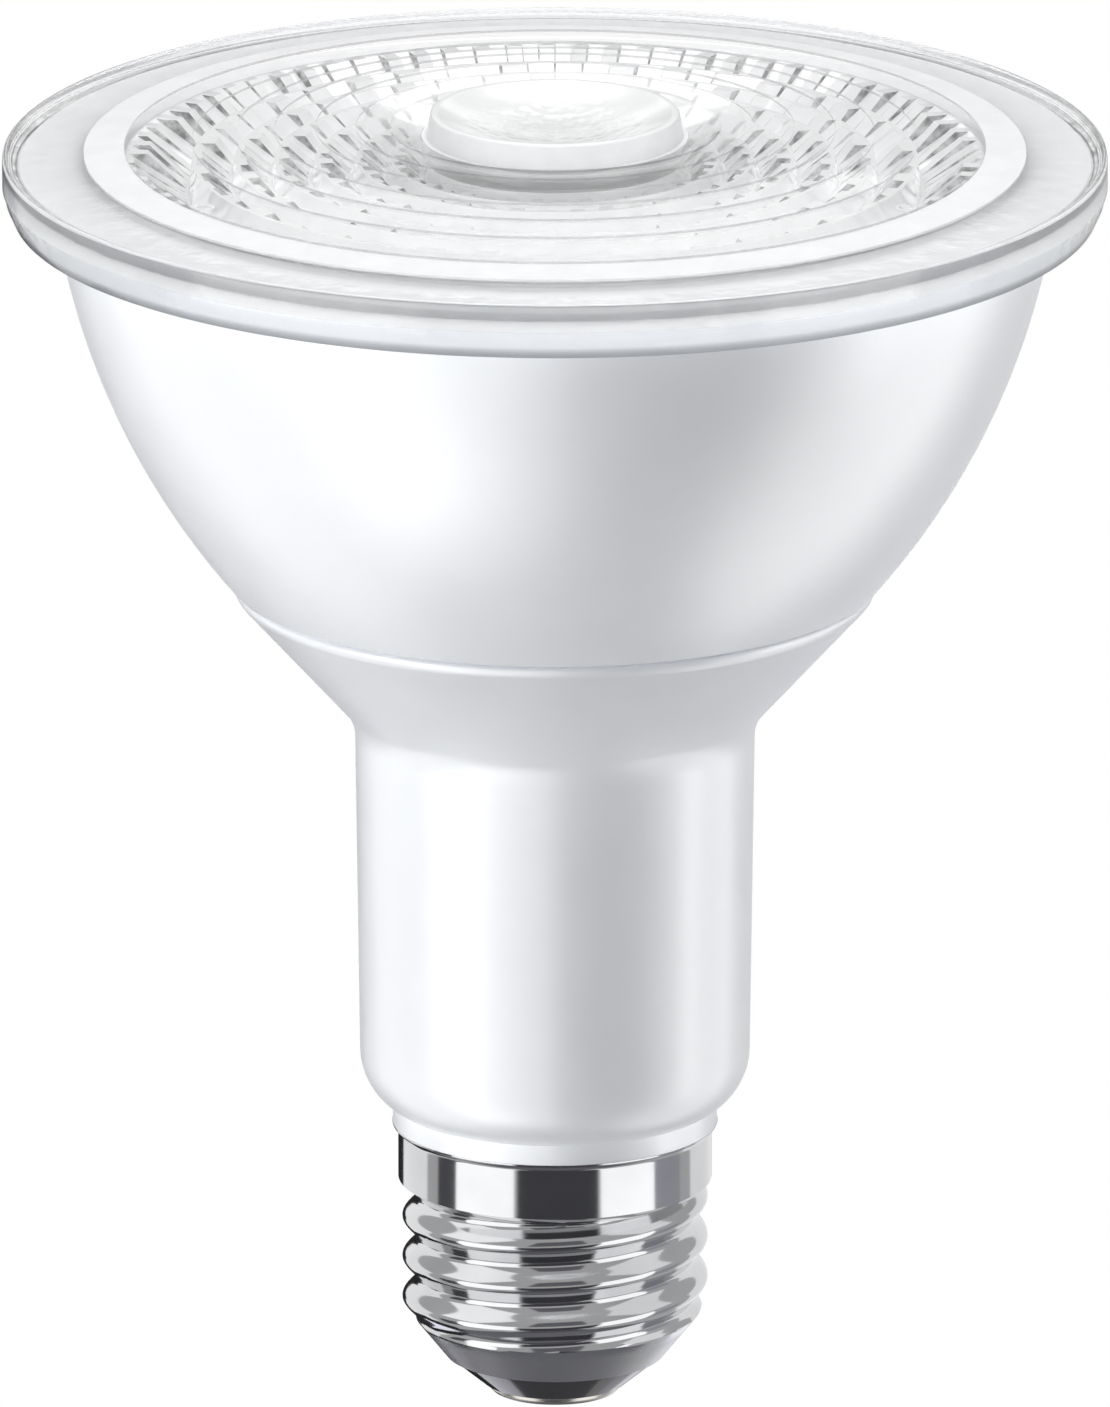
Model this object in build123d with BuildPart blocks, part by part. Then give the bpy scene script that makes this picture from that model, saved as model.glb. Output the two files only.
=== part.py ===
from build123d import *
import math
import os

# A long-neck LED reflector lamp: screw base, neck, bowl and a clear stepped lens. Millimetres.
# The axis is Z with the base down, and the underside of the centre contact is z = 0.

# Fits
fit = 0.1
lap = 0.2

# Screw base, of the common 26 mm kind
contact_radius = 5.7
contact_thickness = 0.7
shank_radius = 1.5
shank_length = 5.2
insulator_foot_radius = 6.2
insulator_shoulder_radius = 9.3
insulator_cone_height = 2.6
insulator_flange_height = 1.4
shell_wall = 0.35
shell_lip_width = 0.55
shell_bevel_height = 3.2
shell_height = 20.9
thread_pitch = 3.629
thread_crest_radius = 13.2
thread_depth = 1.15
thread_crest_land = 0.9
thread_flank_width = 1.2
skirt_radius = 13.55
skirt_height = 5.0
skirt_shoulder = 0.9
skirt_flare = 0.5

# Neck
collar_height = 1.8
collar_step = 0.45
neck_radius = 17.25
neck_length = 34.5
neck_draft = 0.8
neck_corner_radius = 5.5
neck_corner_angle = 60
neck_wall = 1.8
cone_angle = 42
cone_fillet = 4.0
seam_band = 0.9
seam_band_draft = 20
seam_fillet = 0.4
band_fillet = 1.5
spigot_wall = 1.4
spigot_length = 14.6
joint_spigot_wall = 1.8
joint_spigot_height = 3.0

# Bowl
seam_radius = 27.85
bowl_height = 33.0
bowl_curve_radius = 65.5
bowl_wall = 2.0
flange_overhang = 3.0
flange_thickness = 2.2
flange_fillet = 0.8

# Lens
lens_radius = 47.5
rim_height = 2.9
rim_ring_width = 1.5
rim_ring_drop = 0.6
rim_wall = 1.4
rim_step = 0.3
rim_band_height = 0.9
rim_set_in = 0.6
optic_gap = 0.78
web_drop = 0.5
frosted_ring_rise = 0.15
step_riser = 0.22
prism_sides = 40
prism_depth_share = 0.55
prism_land = 0.3
prism_lean = 0.35
cup_radius = 11.05
cup_height = 2.1
cup_set_in = 0.35
cup_rim = 0.6
cup_depth = 2.6
moat_width = 0.4
moat_depth = 0.9
pocket_radius = 7.5
pocket_depth = 0.6

# Each step of the lens face: its radius as a share of the frosted ring's, and its height above the rim
face_step_shares = [0.9136, 0.7704, 0.6790, 0.5951, 0.5086, 0.4222, 0.3506]
face_step_heights = [0.75, 1.3, 1.85, 2.25, 2.45, 2.5, 2.45]

# Heat sink and LED board
heat_sink_wall = 1.5
heat_sink_plate = 2.0
heat_sink_foot_gap = 1.2
heat_sink_height = 17.5
led_board_radius = 17.0
led_board_thickness = 1.6
led_size = 3.0
led_height = 0.7
led_pitch = 4.2
screw_count = 3
screw_circle_radius = 12.8
screw_head_radius = 2.6
screw_head_height = 1.7
screw_shank_radius = 1.4
screw_length = 3.2
connector_length = 6.4
connector_width = 3.6
connector_height = 3.0
connector_place = 12.4
lead_pitch = 2.8
lead_radius = 0.55
lead_poke = 1.8

# Driver: what stands on each face of the board is stacked up from the shelf in the neck
board_thickness = 1.6
tongue_width = 15.0
tongue_length = 15.0
pad_height = 5.0
part_gap = 1.5
rail_depth = 2.6
rail_width = 1.3
rail_height = 26.0
capacitor_radius = 5.0
capacitor_length = 18.0
capacitor_crimp = 0.5
capacitor_crimp_height = 2.0
film_length = 10.0
film_width = 5.0
film_height = 8.0
core_width = 13.0
core_height = 12.0
core_thickness = 5.0
core_leg = 2.0
core_centre_leg = 3.6
winding_build = 2.4
choke_radius = 4.0
choke_length = 9.0
choke_waist = 2.2
choke_cheek = 1.2
fuse_radius = 1.6
fuse_length = 8.0
bridge_length = 6.0
bridge_width = 5.0
bridge_height = 2.4
transistor_width = 6.5
transistor_length = 7.0
transistor_height = 2.3
transistor_tab = 2.5
transistor_tab_thickness = 0.5
chip_length = 5.0
chip_width = 4.0
chip_height = 1.6
mains_bend = 3.0

# Heights, stacked up from the contact
z_insulator = contact_thickness
z_shell = z_insulator + insulator_cone_height
z_thread = z_shell + shell_bevel_height
z_shell_top = z_shell + shell_height
z_skirt = z_shell_top - skirt_height
z_shoulder = z_skirt - skirt_shoulder
z_spigot = z_shell_top - spigot_length
z_collar_top = z_shell_top + collar_height
z_neck_top = z_collar_top + neck_length
cone_top_radius = seam_radius - seam_band * math.tan(math.radians(seam_band_draft))
z_cone_top = z_neck_top + (cone_top_radius - neck_radius) / math.tan(math.radians(cone_angle))
z_seam = z_cone_top + seam_band
z_flange = z_seam + bowl_height
z_seat = z_flange + flange_thickness
z_rim = z_seat + rim_height
z_web = z_rim - web_drop
z_foot = z_seam + joint_spigot_height + heat_sink_foot_gap
z_plate = z_foot + heat_sink_height
z_led_board = z_plate + heat_sink_plate
z_led = z_led_board + led_board_thickness

# Radii that fit each other
thread_root_radius = thread_crest_radius - thread_depth
thread_bore_radius = thread_root_radius - shell_wall
spigot_radius = thread_bore_radius - fit
spigot_bore_radius = spigot_radius - spigot_wall
skirt_bore_radius = skirt_radius - shell_wall
collar_radius = skirt_radius + collar_step
flange_radius = lens_radius - rim_wall - fit
bowl_top_radius = flange_radius - flange_overhang
corner_rise = neck_corner_radius * math.sin(math.radians(neck_corner_angle))
corner_drop = neck_corner_radius * (1 - math.cos(math.radians(neck_corner_angle)))
z_corner = z_collar_top + corner_rise
neck_low_radius = neck_radius - (z_neck_top - z_corner) * math.tan(math.radians(neck_draft))
neck_foot_radius = neck_low_radius - corner_drop
neck_bore_radius = neck_low_radius - neck_wall
z_shelf = z_collar_top + neck_wall
board_half_width = math.sqrt(neck_bore_radius**2 - (board_thickness / 2) ** 2) - lap
board_face = board_thickness / 2
z_choke = z_shelf + part_gap + choke_radius
z_core = z_choke + choke_radius + part_gap + core_height / 2
z_transistor = z_core + core_height / 2 + part_gap
z_board_top = z_transistor + transistor_length + transistor_tab + pad_height
z_tongue = z_shelf - tongue_length
lead_offset = board_face + lead_radius + fit


def bowl_curve(z, inset):
    """Radius of the bowl at height z, on the arc that lies inset inside its outer face."""
    half_chord = math.hypot(bowl_top_radius - seam_radius, bowl_height) / 2
    slope = math.atan2(bowl_height, bowl_top_radius - seam_radius)
    reach = math.sqrt(bowl_curve_radius**2 - half_chord**2)
    centre_r = (seam_radius + bowl_top_radius) / 2 - reach * math.sin(slope)
    centre_z = z_seam + bowl_height / 2 + reach * math.cos(slope)
    return centre_r + math.sqrt((bowl_curve_radius - inset) ** 2 - (z - centre_z) ** 2)


def bowl_inside(z):
    """Radius of the bowl's inner face at height z, where two cones meet halfway up."""
    low, high = (z_seam, z_middle) if z < z_middle else (z_middle, z_seat)
    share = (z - low) / (high - low)
    return bowl_curve(low, bowl_wall) * (1 - share) + bowl_curve(high, bowl_wall) * share


z_middle = (z_seam + z_seat) / 2
bowl_floor_radius = bowl_curve(z_seam, bowl_wall)
bowl_mouth_radius = bowl_curve(z_seat, bowl_wall)
frosted_ring_radius = bowl_mouth_radius - optic_gap
face_step_radii = [share * frosted_ring_radius for share in face_step_shares]
joint_spigot_radius = bowl_floor_radius - fit
os.makedirs("parts", exist_ok=True)

# Centre contact: a disc with the shank that is riveted through the insulator
with BuildPart() as centre_contact:
    Cylinder(contact_radius, contact_thickness, align=(Align.CENTER, Align.CENTER, Align.MIN))
    chamfer(centre_contact.edges().sort_by(Axis.Z)[0], contact_thickness / 3)
    with Locations((0, 0, contact_thickness)):
        Cylinder(shank_radius, shank_length, align=(Align.CENTER, Align.CENTER, Align.MIN))
centre_contact.part.label = "centre_contact"
export_step(centre_contact.part, "parts/centre_contact.step")

# Base insulator: a cone below the shell, a groove that holds the shell's lip, and a flange above it
groove_radius = insulator_shoulder_radius - shell_lip_width
with BuildPart() as base_insulator:
    with BuildSketch(Plane.XZ):
        with BuildLine():
            Polyline(
                (shank_radius + fit, z_insulator),
                (insulator_foot_radius, z_insulator),
                (insulator_shoulder_radius, z_shell),
                (groove_radius, z_shell),
                (groove_radius, z_shell + shell_wall),
                (insulator_shoulder_radius - fit, z_shell + shell_wall),
                (insulator_shoulder_radius - fit, z_shell + shell_wall + insulator_flange_height),
                (shank_radius + fit, z_shell + shell_wall + insulator_flange_height),
                close=True,
            )
        make_face()
    revolve(axis=Axis.Z)
base_insulator.part.label = "base_insulator"
export_step(base_insulator.part, "parts/base_insulator.step")

# Rolled thread: a right-hand ridge, cut off along the bevel below and along the skirt's shoulder above
lip_radius = groove_radius + fit
bevel_foot_radius = insulator_shoulder_radius + lap
bevel_slope = (thread_root_radius - bevel_foot_radius) / shell_bevel_height
shoulder_slope = (skirt_radius - thread_root_radius) / skirt_shoulder
with BuildPart() as thread:
    thread_foot = z_thread - thread_pitch
    thread_turns = (z_shoulder - thread_foot) / thread_pitch + 0.5
    thread_reach = 2 * thread_pitch
    ridge_limit_radius = thread_crest_radius + shell_wall
    ridge_limit_reach = ridge_limit_radius - thread_root_radius
    with BuildLine() as thread_path:
        helix_height = thread_pitch * thread_turns
        Helix(thread_pitch, helix_height, thread_root_radius, center=(0, 0, thread_foot))
    with BuildSketch(Plane(thread_path.line @ 0, x_dir=(1, 0, 0), z_dir=thread_path.line % 0)):
        with BuildLine():
            ridge_foot = thread_crest_land / 2 + thread_flank_width
            Polyline(
                (-shell_wall / 2, -ridge_foot),
                (thread_depth, -thread_crest_land / 2),
                (thread_depth, thread_crest_land / 2),
                (-shell_wall / 2, ridge_foot),
                close=True,
            )
        make_face()
    sweep(path=thread_path.line, is_frenet=True)
    thread_ends = (
        (z_thread, bevel_slope, -thread_reach),
        (z_shoulder, shoulder_slope, thread_reach),
    )
    for z_end, slope, reach in thread_ends:
        with BuildSketch(Plane.XZ):
            with BuildLine():
                Polyline(
                    (thread_bore_radius - shell_wall, z_end),
                    (thread_root_radius, z_end),
                    (ridge_limit_radius, z_end + ridge_limit_reach / slope),
                    (ridge_limit_radius, z_end + reach),
                    (thread_bore_radius - shell_wall, z_end + reach),
                    close=True,
                )
            make_face()
        revolve(axis=Axis.Z, mode=Mode.SUBTRACT)

# Screw shell: thin plated metal with a turned-in lip, a bevel, the thread and a flared skirt
with BuildPart() as screw_shell:
    with BuildSketch(Plane.XZ):
        with BuildLine():
            Polyline(
                (lip_radius, z_shell),
                (bevel_foot_radius, z_shell),
                (thread_root_radius, z_thread),
                (thread_root_radius, z_shoulder),
                (skirt_radius, z_skirt),
                (skirt_radius, z_shell_top - skirt_flare),
                (skirt_radius + skirt_flare, z_shell_top),
                (skirt_bore_radius, z_shell_top),
                (skirt_bore_radius, z_skirt),
                (thread_bore_radius, z_shoulder),
                (thread_bore_radius, z_thread),
                (bevel_foot_radius, z_shell + shell_wall),
                (lip_radius, z_shell + shell_wall),
                close=True,
            )
        make_face()
    revolve(axis=Axis.Z)
    add(thread.part)
screw_shell.part.label = "screw_shell"
export_step(screw_shell.part, "parts/screw_shell.step")

# Neck housing: spigot for the shell, collar, drafted neck, cone, and the spigot that enters the bowl
with BuildPart() as neck_housing:
    with BuildSketch(Plane.XZ) as neck_profile:
        with BuildLine():
            cone_rate = math.tan(math.radians(cone_angle))
            cone_wall = neck_wall / math.cos(math.radians(cone_angle))
            joint_bore_radius = joint_spigot_radius - joint_spigot_wall
            z_bore_top = z_neck_top + (neck_bore_radius - neck_radius + cone_wall) / cone_rate
            z_flare_top = z_bore_top + (joint_bore_radius - neck_bore_radius) / cone_rate
            Polyline(
                (neck_foot_radius, z_collar_top),
                (collar_radius, z_collar_top),
                (collar_radius, z_shell_top),
                (skirt_bore_radius - fit, z_shell_top),
                (skirt_bore_radius - fit, z_skirt + lap),
                (spigot_radius, z_skirt + lap),
                (spigot_radius, z_spigot),
                (spigot_bore_radius, z_spigot),
                (spigot_bore_radius, z_shelf),
                (neck_bore_radius, z_shelf),
                (neck_bore_radius, z_bore_top),
                (joint_bore_radius, z_flare_top),
                (joint_bore_radius, z_seam + joint_spigot_height),
                (joint_spigot_radius, z_seam + joint_spigot_height),
                (joint_spigot_radius, z_seam),
                (seam_radius, z_seam),
                (cone_top_radius, z_cone_top),
                (neck_radius, z_neck_top),
                (neck_low_radius, z_corner),
            )
            half_corner = math.radians(neck_corner_angle / 2)
            corner_middle = (
                neck_low_radius - neck_corner_radius * (1 - math.cos(half_corner)),
                z_corner - neck_corner_radius * math.sin(half_corner),
            )
            ThreePointArc((neck_low_radius, z_corner), corner_middle, (neck_foot_radius, z_collar_top))
        make_face()
        fillet(neck_profile.vertices().sort_by_distance((neck_radius, z_neck_top))[0], cone_fillet)
        fillet(neck_profile.vertices().sort_by_distance((cone_top_radius, z_cone_top))[0], band_fillet)
        fillet(neck_profile.vertices().sort_by_distance((seam_radius, z_seam))[0], seam_fillet)
    revolve(axis=Axis.Z)
    with BuildSketch(Plane.XY.offset(z_shelf)):
        with GridLocations(2 * neck_bore_radius - rail_depth, 2 * (board_face + fit) + rail_width, 2, 2):
            Rectangle(rail_depth, rail_width)
    extrude(amount=rail_height)
neck_housing.part.label = "neck_housing"
export_step(neck_housing.part, "parts/neck_housing.step")

# Bowl housing: an arc-shaped bowl that ends in the flange which carries the lens
with BuildPart() as bowl_housing:
    with BuildSketch(Plane.XZ) as bowl_profile:
        with BuildLine():
            ThreePointArc(
                (seam_radius, z_seam),
                (bowl_curve((z_seam + z_flange) / 2, 0), (z_seam + z_flange) / 2),
                (bowl_top_radius, z_flange),
            )
            Polyline(
                (bowl_top_radius, z_flange),
                (flange_radius, z_flange),
                (flange_radius, z_seat),
                (bowl_mouth_radius, z_seat),
                (bowl_curve(z_middle, bowl_wall), z_middle),
                (bowl_floor_radius, z_seam),
                (seam_radius, z_seam),
            )
        make_face()
        fillet(bowl_profile.vertices().sort_by_distance((bowl_top_radius, z_flange))[0], flange_fillet)
    revolve(axis=Axis.Z)
bowl_housing.part.label = "bowl_housing"
export_step(bowl_housing.part, "parts/bowl_housing.step")

# Prism rings under the lens: flat-sided teeth, each ring turned half a side from the next
prism_edges = face_step_radii + [cup_radius]
flat_share = math.cos(math.pi / prism_sides)
with BuildPart() as prism_rings:
    under_web = Plane((0, 0, z_web), x_dir=(1, 0, 0), z_dir=(0, 0, -1))
    for ring in range(len(face_step_radii)):
        outer = prism_edges[ring] - prism_land
        inner = prism_edges[ring + 1]
        tip = inner + prism_lean + prism_land
        depth = (outer - inner) * prism_depth_share
        turn = 180 / prism_sides * (ring % 2)
        with BuildSketch(under_web):
            RegularPolygon(outer, prism_sides, rotation=turn)
        slope = math.degrees(math.atan((outer - tip) * flat_share / depth))
        extrude(amount=depth, taper=slope, clean=False)
        with BuildSketch(under_web):
            RegularPolygon(inner, prism_sides, rotation=turn)
        slope = math.degrees(math.atan(prism_lean * flat_share / depth))
        extrude(amount=depth, taper=-slope, clean=False, mode=Mode.SUBTRACT)

# Front lens: rim with a skirt round the flange, stepped face, frosted ring, prism rings and centre cup
rim_inner_radius = flange_radius + fit
ring_inner_radius = lens_radius - rim_ring_width
frosted_ring_width = frosted_ring_radius - face_step_radii[0]
z_moat = z_rim + face_step_heights[-1] - moat_depth
z_cup = z_moat + cup_height
dish_edge = cup_radius - cup_set_in - cup_rim
dish_radius = (dish_edge**2 + cup_depth**2) / (2 * cup_depth)
half_sweep = math.asin(dish_edge / dish_radius) / 2
with BuildPart() as front_lens:
    with BuildSketch(Plane.XZ):
        with BuildLine():
            outline = [
                (0, z_web),
                (face_step_radii[0], z_web),
                (face_step_radii[0], z_seat),
                (rim_inner_radius, z_seat),
                (rim_inner_radius, z_flange),
                (lens_radius - rim_step - rim_set_in, z_flange),
                (lens_radius - rim_step, z_seat - rim_band_height),
                (lens_radius - rim_step, z_seat),
                (lens_radius, z_seat),
                (lens_radius, z_rim),
                (ring_inner_radius, z_rim - rim_ring_drop),
                (frosted_ring_radius, z_rim + frosted_ring_rise - step_riser),
                (frosted_ring_radius, z_rim + frosted_ring_rise),
            ]
            for radius, height in zip(face_step_radii, face_step_heights):
                outline.append((radius, z_rim + height - step_riser))
                outline.append((radius, z_rim + height))
            outline.append((cup_radius + moat_width, z_moat))
            outline.append((cup_radius, z_moat))
            outline.append((cup_radius - cup_set_in, z_cup))
            outline.append((dish_edge, z_cup))
            Polyline(*outline)
            z_dish = z_cup - cup_depth
            dish_middle = (
                dish_radius * math.sin(half_sweep),
                z_dish + dish_radius * (1 - math.cos(half_sweep)),
            )
            ThreePointArc((dish_edge, z_cup), dish_middle, (0, z_dish))
            Line((0, z_dish), (0, z_web))
        make_face()
    revolve(axis=Axis.Z)
    frosted_tip = z_seat - frosted_ring_width * prism_depth_share
    with BuildSketch(Plane.XZ):
        with BuildLine():
            Polyline(
                (frosted_ring_radius, z_seat),
                (face_step_radii[0] + prism_lean, frosted_tip),
                (face_step_radii[0], z_seat),
                close=True,
            )
        make_face()
    revolve(axis=Axis.Z)
    add(prism_rings.part, clean=False)
    with Locations((0, 0, z_web)):
        pocket_align = (Align.CENTER, Align.CENTER, Align.MIN)
        Cylinder(pocket_radius, pocket_depth, align=pocket_align, mode=Mode.SUBTRACT)
front_lens.part.label = "front_lens"
export_step(front_lens.part, "parts/front_lens.step")

# Heat sink: a spun aluminium cup that lies in the bowl's taper and carries the LED board on its plate
lead_places = [
    (connector_place - lead_pitch / 2, -lead_offset),
    (connector_place + lead_pitch / 2, -lead_offset),
]
with BuildPart() as heat_sink:
    foot_radius = bowl_inside(z_foot) - fit
    top_radius = bowl_inside(z_led_board) - fit
    plate_share = heat_sink_height / (heat_sink_height + heat_sink_plate)
    plate_radius = foot_radius + (top_radius - foot_radius) * plate_share
    with BuildSketch(Plane.XZ):
        with BuildLine():
            Polyline(
                (foot_radius, z_foot),
                (top_radius, z_led_board),
                (0, z_led_board),
                (0, z_plate),
                (plate_radius - heat_sink_wall, z_plate),
                (foot_radius - heat_sink_wall, z_foot),
                close=True,
            )
        make_face()
    revolve(axis=Axis.Z)
    with BuildSketch(Plane.XY.offset(z_plate)):
        with PolarLocations(screw_circle_radius, screw_count, start_angle=90):
            Circle(screw_shank_radius + fit)
        with Locations((connector_place, -lead_offset)):
            SlotCenterToCenter(lead_pitch, 2 * (lead_radius + 2 * lap))
    extrude(amount=heat_sink_plate, mode=Mode.SUBTRACT)
heat_sink.part.label = "heat_sink"
export_step(heat_sink.part, "parts/heat_sink.step")

# LED board: a round board with holes for its screws and for the two leads
with BuildPart() as led_board:
    with BuildSketch(Plane.XY.offset(z_led_board)):
        Circle(led_board_radius)
        with PolarLocations(screw_circle_radius, screw_count, start_angle=90):
            Circle(screw_shank_radius + lap, mode=Mode.SUBTRACT)
        with Locations(*lead_places):
            Circle(lead_radius + fit, mode=Mode.SUBTRACT)
    extrude(amount=led_board_thickness)
led_board.part.label = "led_board"
export_step(led_board.part, "parts/led_board.step")

# LED packages: a four by four grid without its corners, under the lens cup
with BuildPart() as led_packages:
    with BuildSketch(Plane.XY.offset(z_led)):
        with GridLocations(led_pitch, led_pitch, 4, 2):
            Rectangle(led_size, led_size)
        with GridLocations(led_pitch, 3 * led_pitch, 2, 2):
            Rectangle(led_size, led_size)
    extrude(amount=led_height)
led_packages.part.label = "led_packages"
export_step(led_packages.part, "parts/led_packages.step")

# Screws that hold the LED board down on the heat sink
with BuildPart() as led_board_screws:
    with BuildSketch(Plane.XY.offset(z_led)):
        with PolarLocations(screw_circle_radius, screw_count, start_angle=90):
            Circle(screw_head_radius)
    extrude(amount=screw_head_height)
    with BuildSketch(Plane.XY.offset(z_led)):
        with PolarLocations(screw_circle_radius, screw_count, start_angle=90):
            Circle(screw_shank_radius)
    extrude(amount=-screw_length)
led_board_screws.part.label = "led_board_screws"
export_step(led_board_screws.part, "parts/led_board_screws.step")

# LED connector: a two-pole block on the LED board that the leads poke into from below
with BuildPart() as led_connector:
    with BuildSketch(Plane.XY.offset(z_led)):
        with Locations((connector_place, -lead_offset)):
            Rectangle(connector_length, connector_width)
    extrude(amount=connector_height)
    with BuildSketch(Plane.XY.offset(z_led)):
        with Locations(*lead_places):
            Circle(lead_radius + fit)
    extrude(amount=lead_poke, mode=Mode.SUBTRACT)
led_connector.part.label = "led_connector"
export_step(led_connector.part, "parts/led_connector.step")

# Leads to the LEDs: stiff straight wires on the board's face, up through the heat sink to the connector
for label, place in zip(("led_lead_positive", "led_lead_negative"), lead_places):
    with BuildPart() as led_lead:
        with BuildSketch(Plane.XY.offset(z_board_top - pad_height)):
            with Locations(place):
                Circle(lead_radius)
        extrude(amount=z_led + lead_poke - z_board_top + pad_height)
    led_lead.part.label = label
    export_step(led_lead.part, f"parts/{label}.step")

# Driver board: upright in the neck's rails, with a tongue that reaches down into the base
with BuildPart() as driver_board:
    with BuildSketch(Plane.XZ):
        with BuildLine():
            Polyline(
                (-tongue_width / 2, z_tongue),
                (tongue_width / 2, z_tongue),
                (tongue_width / 2, z_shelf),
                (board_half_width, z_shelf),
                (board_half_width, z_board_top),
                (-board_half_width, z_board_top),
                (-board_half_width, z_shelf),
                (-tongue_width / 2, z_shelf),
                close=True,
            )
        make_face()
    extrude(amount=board_face, both=True)
driver_board.part.label = "driver_board"
export_step(driver_board.part, "parts/driver_board.step")

# The board's two faces: parts stand away from the front along -Y and from the back along +Y
front_face = Plane((0, -board_face, 0), x_dir=(1, 0, 0), z_dir=(0, -1, 0))
back_face = Plane((0, board_face, 0), x_dir=(-1, 0, 0), z_dir=(0, 1, 0))

# Filter choke: a ferrite drum with two cheeks round its winding, standing on the front face
with BuildPart() as filter_choke:
    for start, length, radius in (
        (0, choke_cheek, choke_radius),
        (choke_cheek, choke_length - 2 * choke_cheek, choke_radius - choke_waist / 2),
        (choke_length - choke_cheek, choke_cheek, choke_radius),
    ):
        with BuildSketch(front_face.offset(start)):
            with Locations((0, z_choke)):
                Circle(radius)
        extrude(amount=length)
filter_choke.part.label = "filter_choke"
export_step(filter_choke.part, "parts/filter_choke.step")

# Transformer winding: a wound block on the front face, with a square hole for the core's middle leg
winding_height = core_height - 2 * core_leg - 2 * fit
winding_width = core_centre_leg + 2 * winding_build
winding_depth = core_thickness + 2 * winding_build
with BuildPart() as transformer_winding:
    with BuildSketch(front_face):
        with Locations((0, z_core)):
            Rectangle(winding_width, winding_height)
    extrude(amount=winding_depth)
    with BuildSketch(front_face.offset(winding_build - fit)):
        with Locations((0, z_core)):
            Rectangle(core_centre_leg + 2 * fit, winding_height)
    extrude(amount=core_thickness + 2 * fit, mode=Mode.SUBTRACT)
transformer_winding.part.label = "transformer_winding"
export_step(transformer_winding.part, "parts/transformer_winding.step")

# Transformer core: a ferrite frame with a middle leg through the winding
with BuildPart() as transformer_core:
    with BuildSketch(front_face.offset(winding_build)):
        with Locations((0, z_core)):
            Rectangle(core_width, core_height)
        window = (core_width - core_centre_leg) / 2 - core_leg
        with Locations((0, z_core)):
            with GridLocations(core_centre_leg + window, 0, 2, 1):
                Rectangle(window, core_height - 2 * core_leg, mode=Mode.SUBTRACT)
    extrude(amount=core_thickness)
transformer_core.part.label = "transformer_core"
export_step(transformer_core.part, "parts/transformer_core.step")

# Switching transistor: a flat package with its metal tab, left of the centre on the front face
with BuildPart() as switching_transistor:
    transistor_x = -part_gap - transistor_width / 2
    with BuildSketch(front_face):
        with Locations((transistor_x, z_transistor + transistor_length / 2)):
            Rectangle(transistor_width, transistor_length)
    extrude(amount=transistor_height)
    with BuildSketch(front_face):
        with Locations((transistor_x, z_transistor + transistor_length + transistor_tab / 2)):
            Rectangle(transistor_width, transistor_tab)
    extrude(amount=transistor_tab_thickness)
switching_transistor.part.label = "switching_transistor"
export_step(switching_transistor.part, "parts/switching_transistor.step")

# Controller chip: a small package right of the centre on the front face
with BuildPart() as controller_chip:
    with BuildSketch(front_face):
        with Locations((part_gap + chip_width / 2, z_transistor + chip_length / 2)):
            Rectangle(chip_width, chip_length)
    extrude(amount=chip_height)
controller_chip.part.label = "controller_chip"
export_step(controller_chip.part, "parts/controller_chip.step")

# Fuse resistor: an axial body across the tongue's front face
z_fuse = z_shelf - part_gap - fuse_radius
with BuildPart() as fuse_resistor:
    fuse_start = (-fuse_length / 2, -board_face - fuse_radius - fit, z_fuse)
    with BuildSketch(Plane(fuse_start, x_dir=(0, 1, 0), z_dir=(1, 0, 0))):
        Circle(fuse_radius)
    extrude(amount=fuse_length)
fuse_resistor.part.label = "fuse_resistor"
export_step(fuse_resistor.part, "parts/fuse_resistor.step")

# Bridge rectifier: a flat package on the tongue's back face
with BuildPart() as bridge_rectifier:
    with BuildSketch(back_face):
        bridge_x = tongue_width / 2 - part_gap - bridge_width / 2
        with Locations((bridge_x, z_shelf - part_gap - bridge_length / 2)):
            Rectangle(bridge_width, bridge_length)
    extrude(amount=bridge_height)
bridge_rectifier.part.label = "bridge_rectifier"
export_step(bridge_rectifier.part, "parts/bridge_rectifier.step")

# Bulk capacitor: an upright can with a rolled groove near its foot, against the back face
z_capacitor = z_shelf + part_gap
z_crimp = z_capacitor + capacitor_crimp_height
can_centre = (0, board_face + capacitor_radius + fit, 0)
with BuildPart() as bulk_capacitor:
    with BuildSketch(Plane(can_centre, x_dir=(1, 0, 0), z_dir=(0, -1, 0))):
        with BuildLine():
            Polyline(
                (0, z_capacitor),
                (capacitor_radius, z_capacitor),
                (capacitor_radius, z_crimp - capacitor_crimp),
                (capacitor_radius - capacitor_crimp, z_crimp),
                (capacitor_radius, z_crimp + capacitor_crimp),
                (capacitor_radius, z_capacitor + capacitor_length),
                (0, z_capacitor + capacitor_length),
                close=True,
            )
        make_face()
    revolve(axis=Axis(can_centre, (0, 0, 1)))
bulk_capacitor.part.label = "bulk_capacitor"
export_step(bulk_capacitor.part, "parts/bulk_capacitor.step")

# Film capacitor: a moulded box on the back face, above the can
with BuildPart() as film_capacitor:
    with BuildSketch(back_face):
        with Locations((0, z_capacitor + capacitor_length + part_gap + film_height / 2)):
            Rectangle(film_length, film_height)
    extrude(amount=film_width)
film_capacitor.part.label = "film_capacitor"
export_step(film_capacitor.part, "parts/film_capacitor.step")

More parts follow.
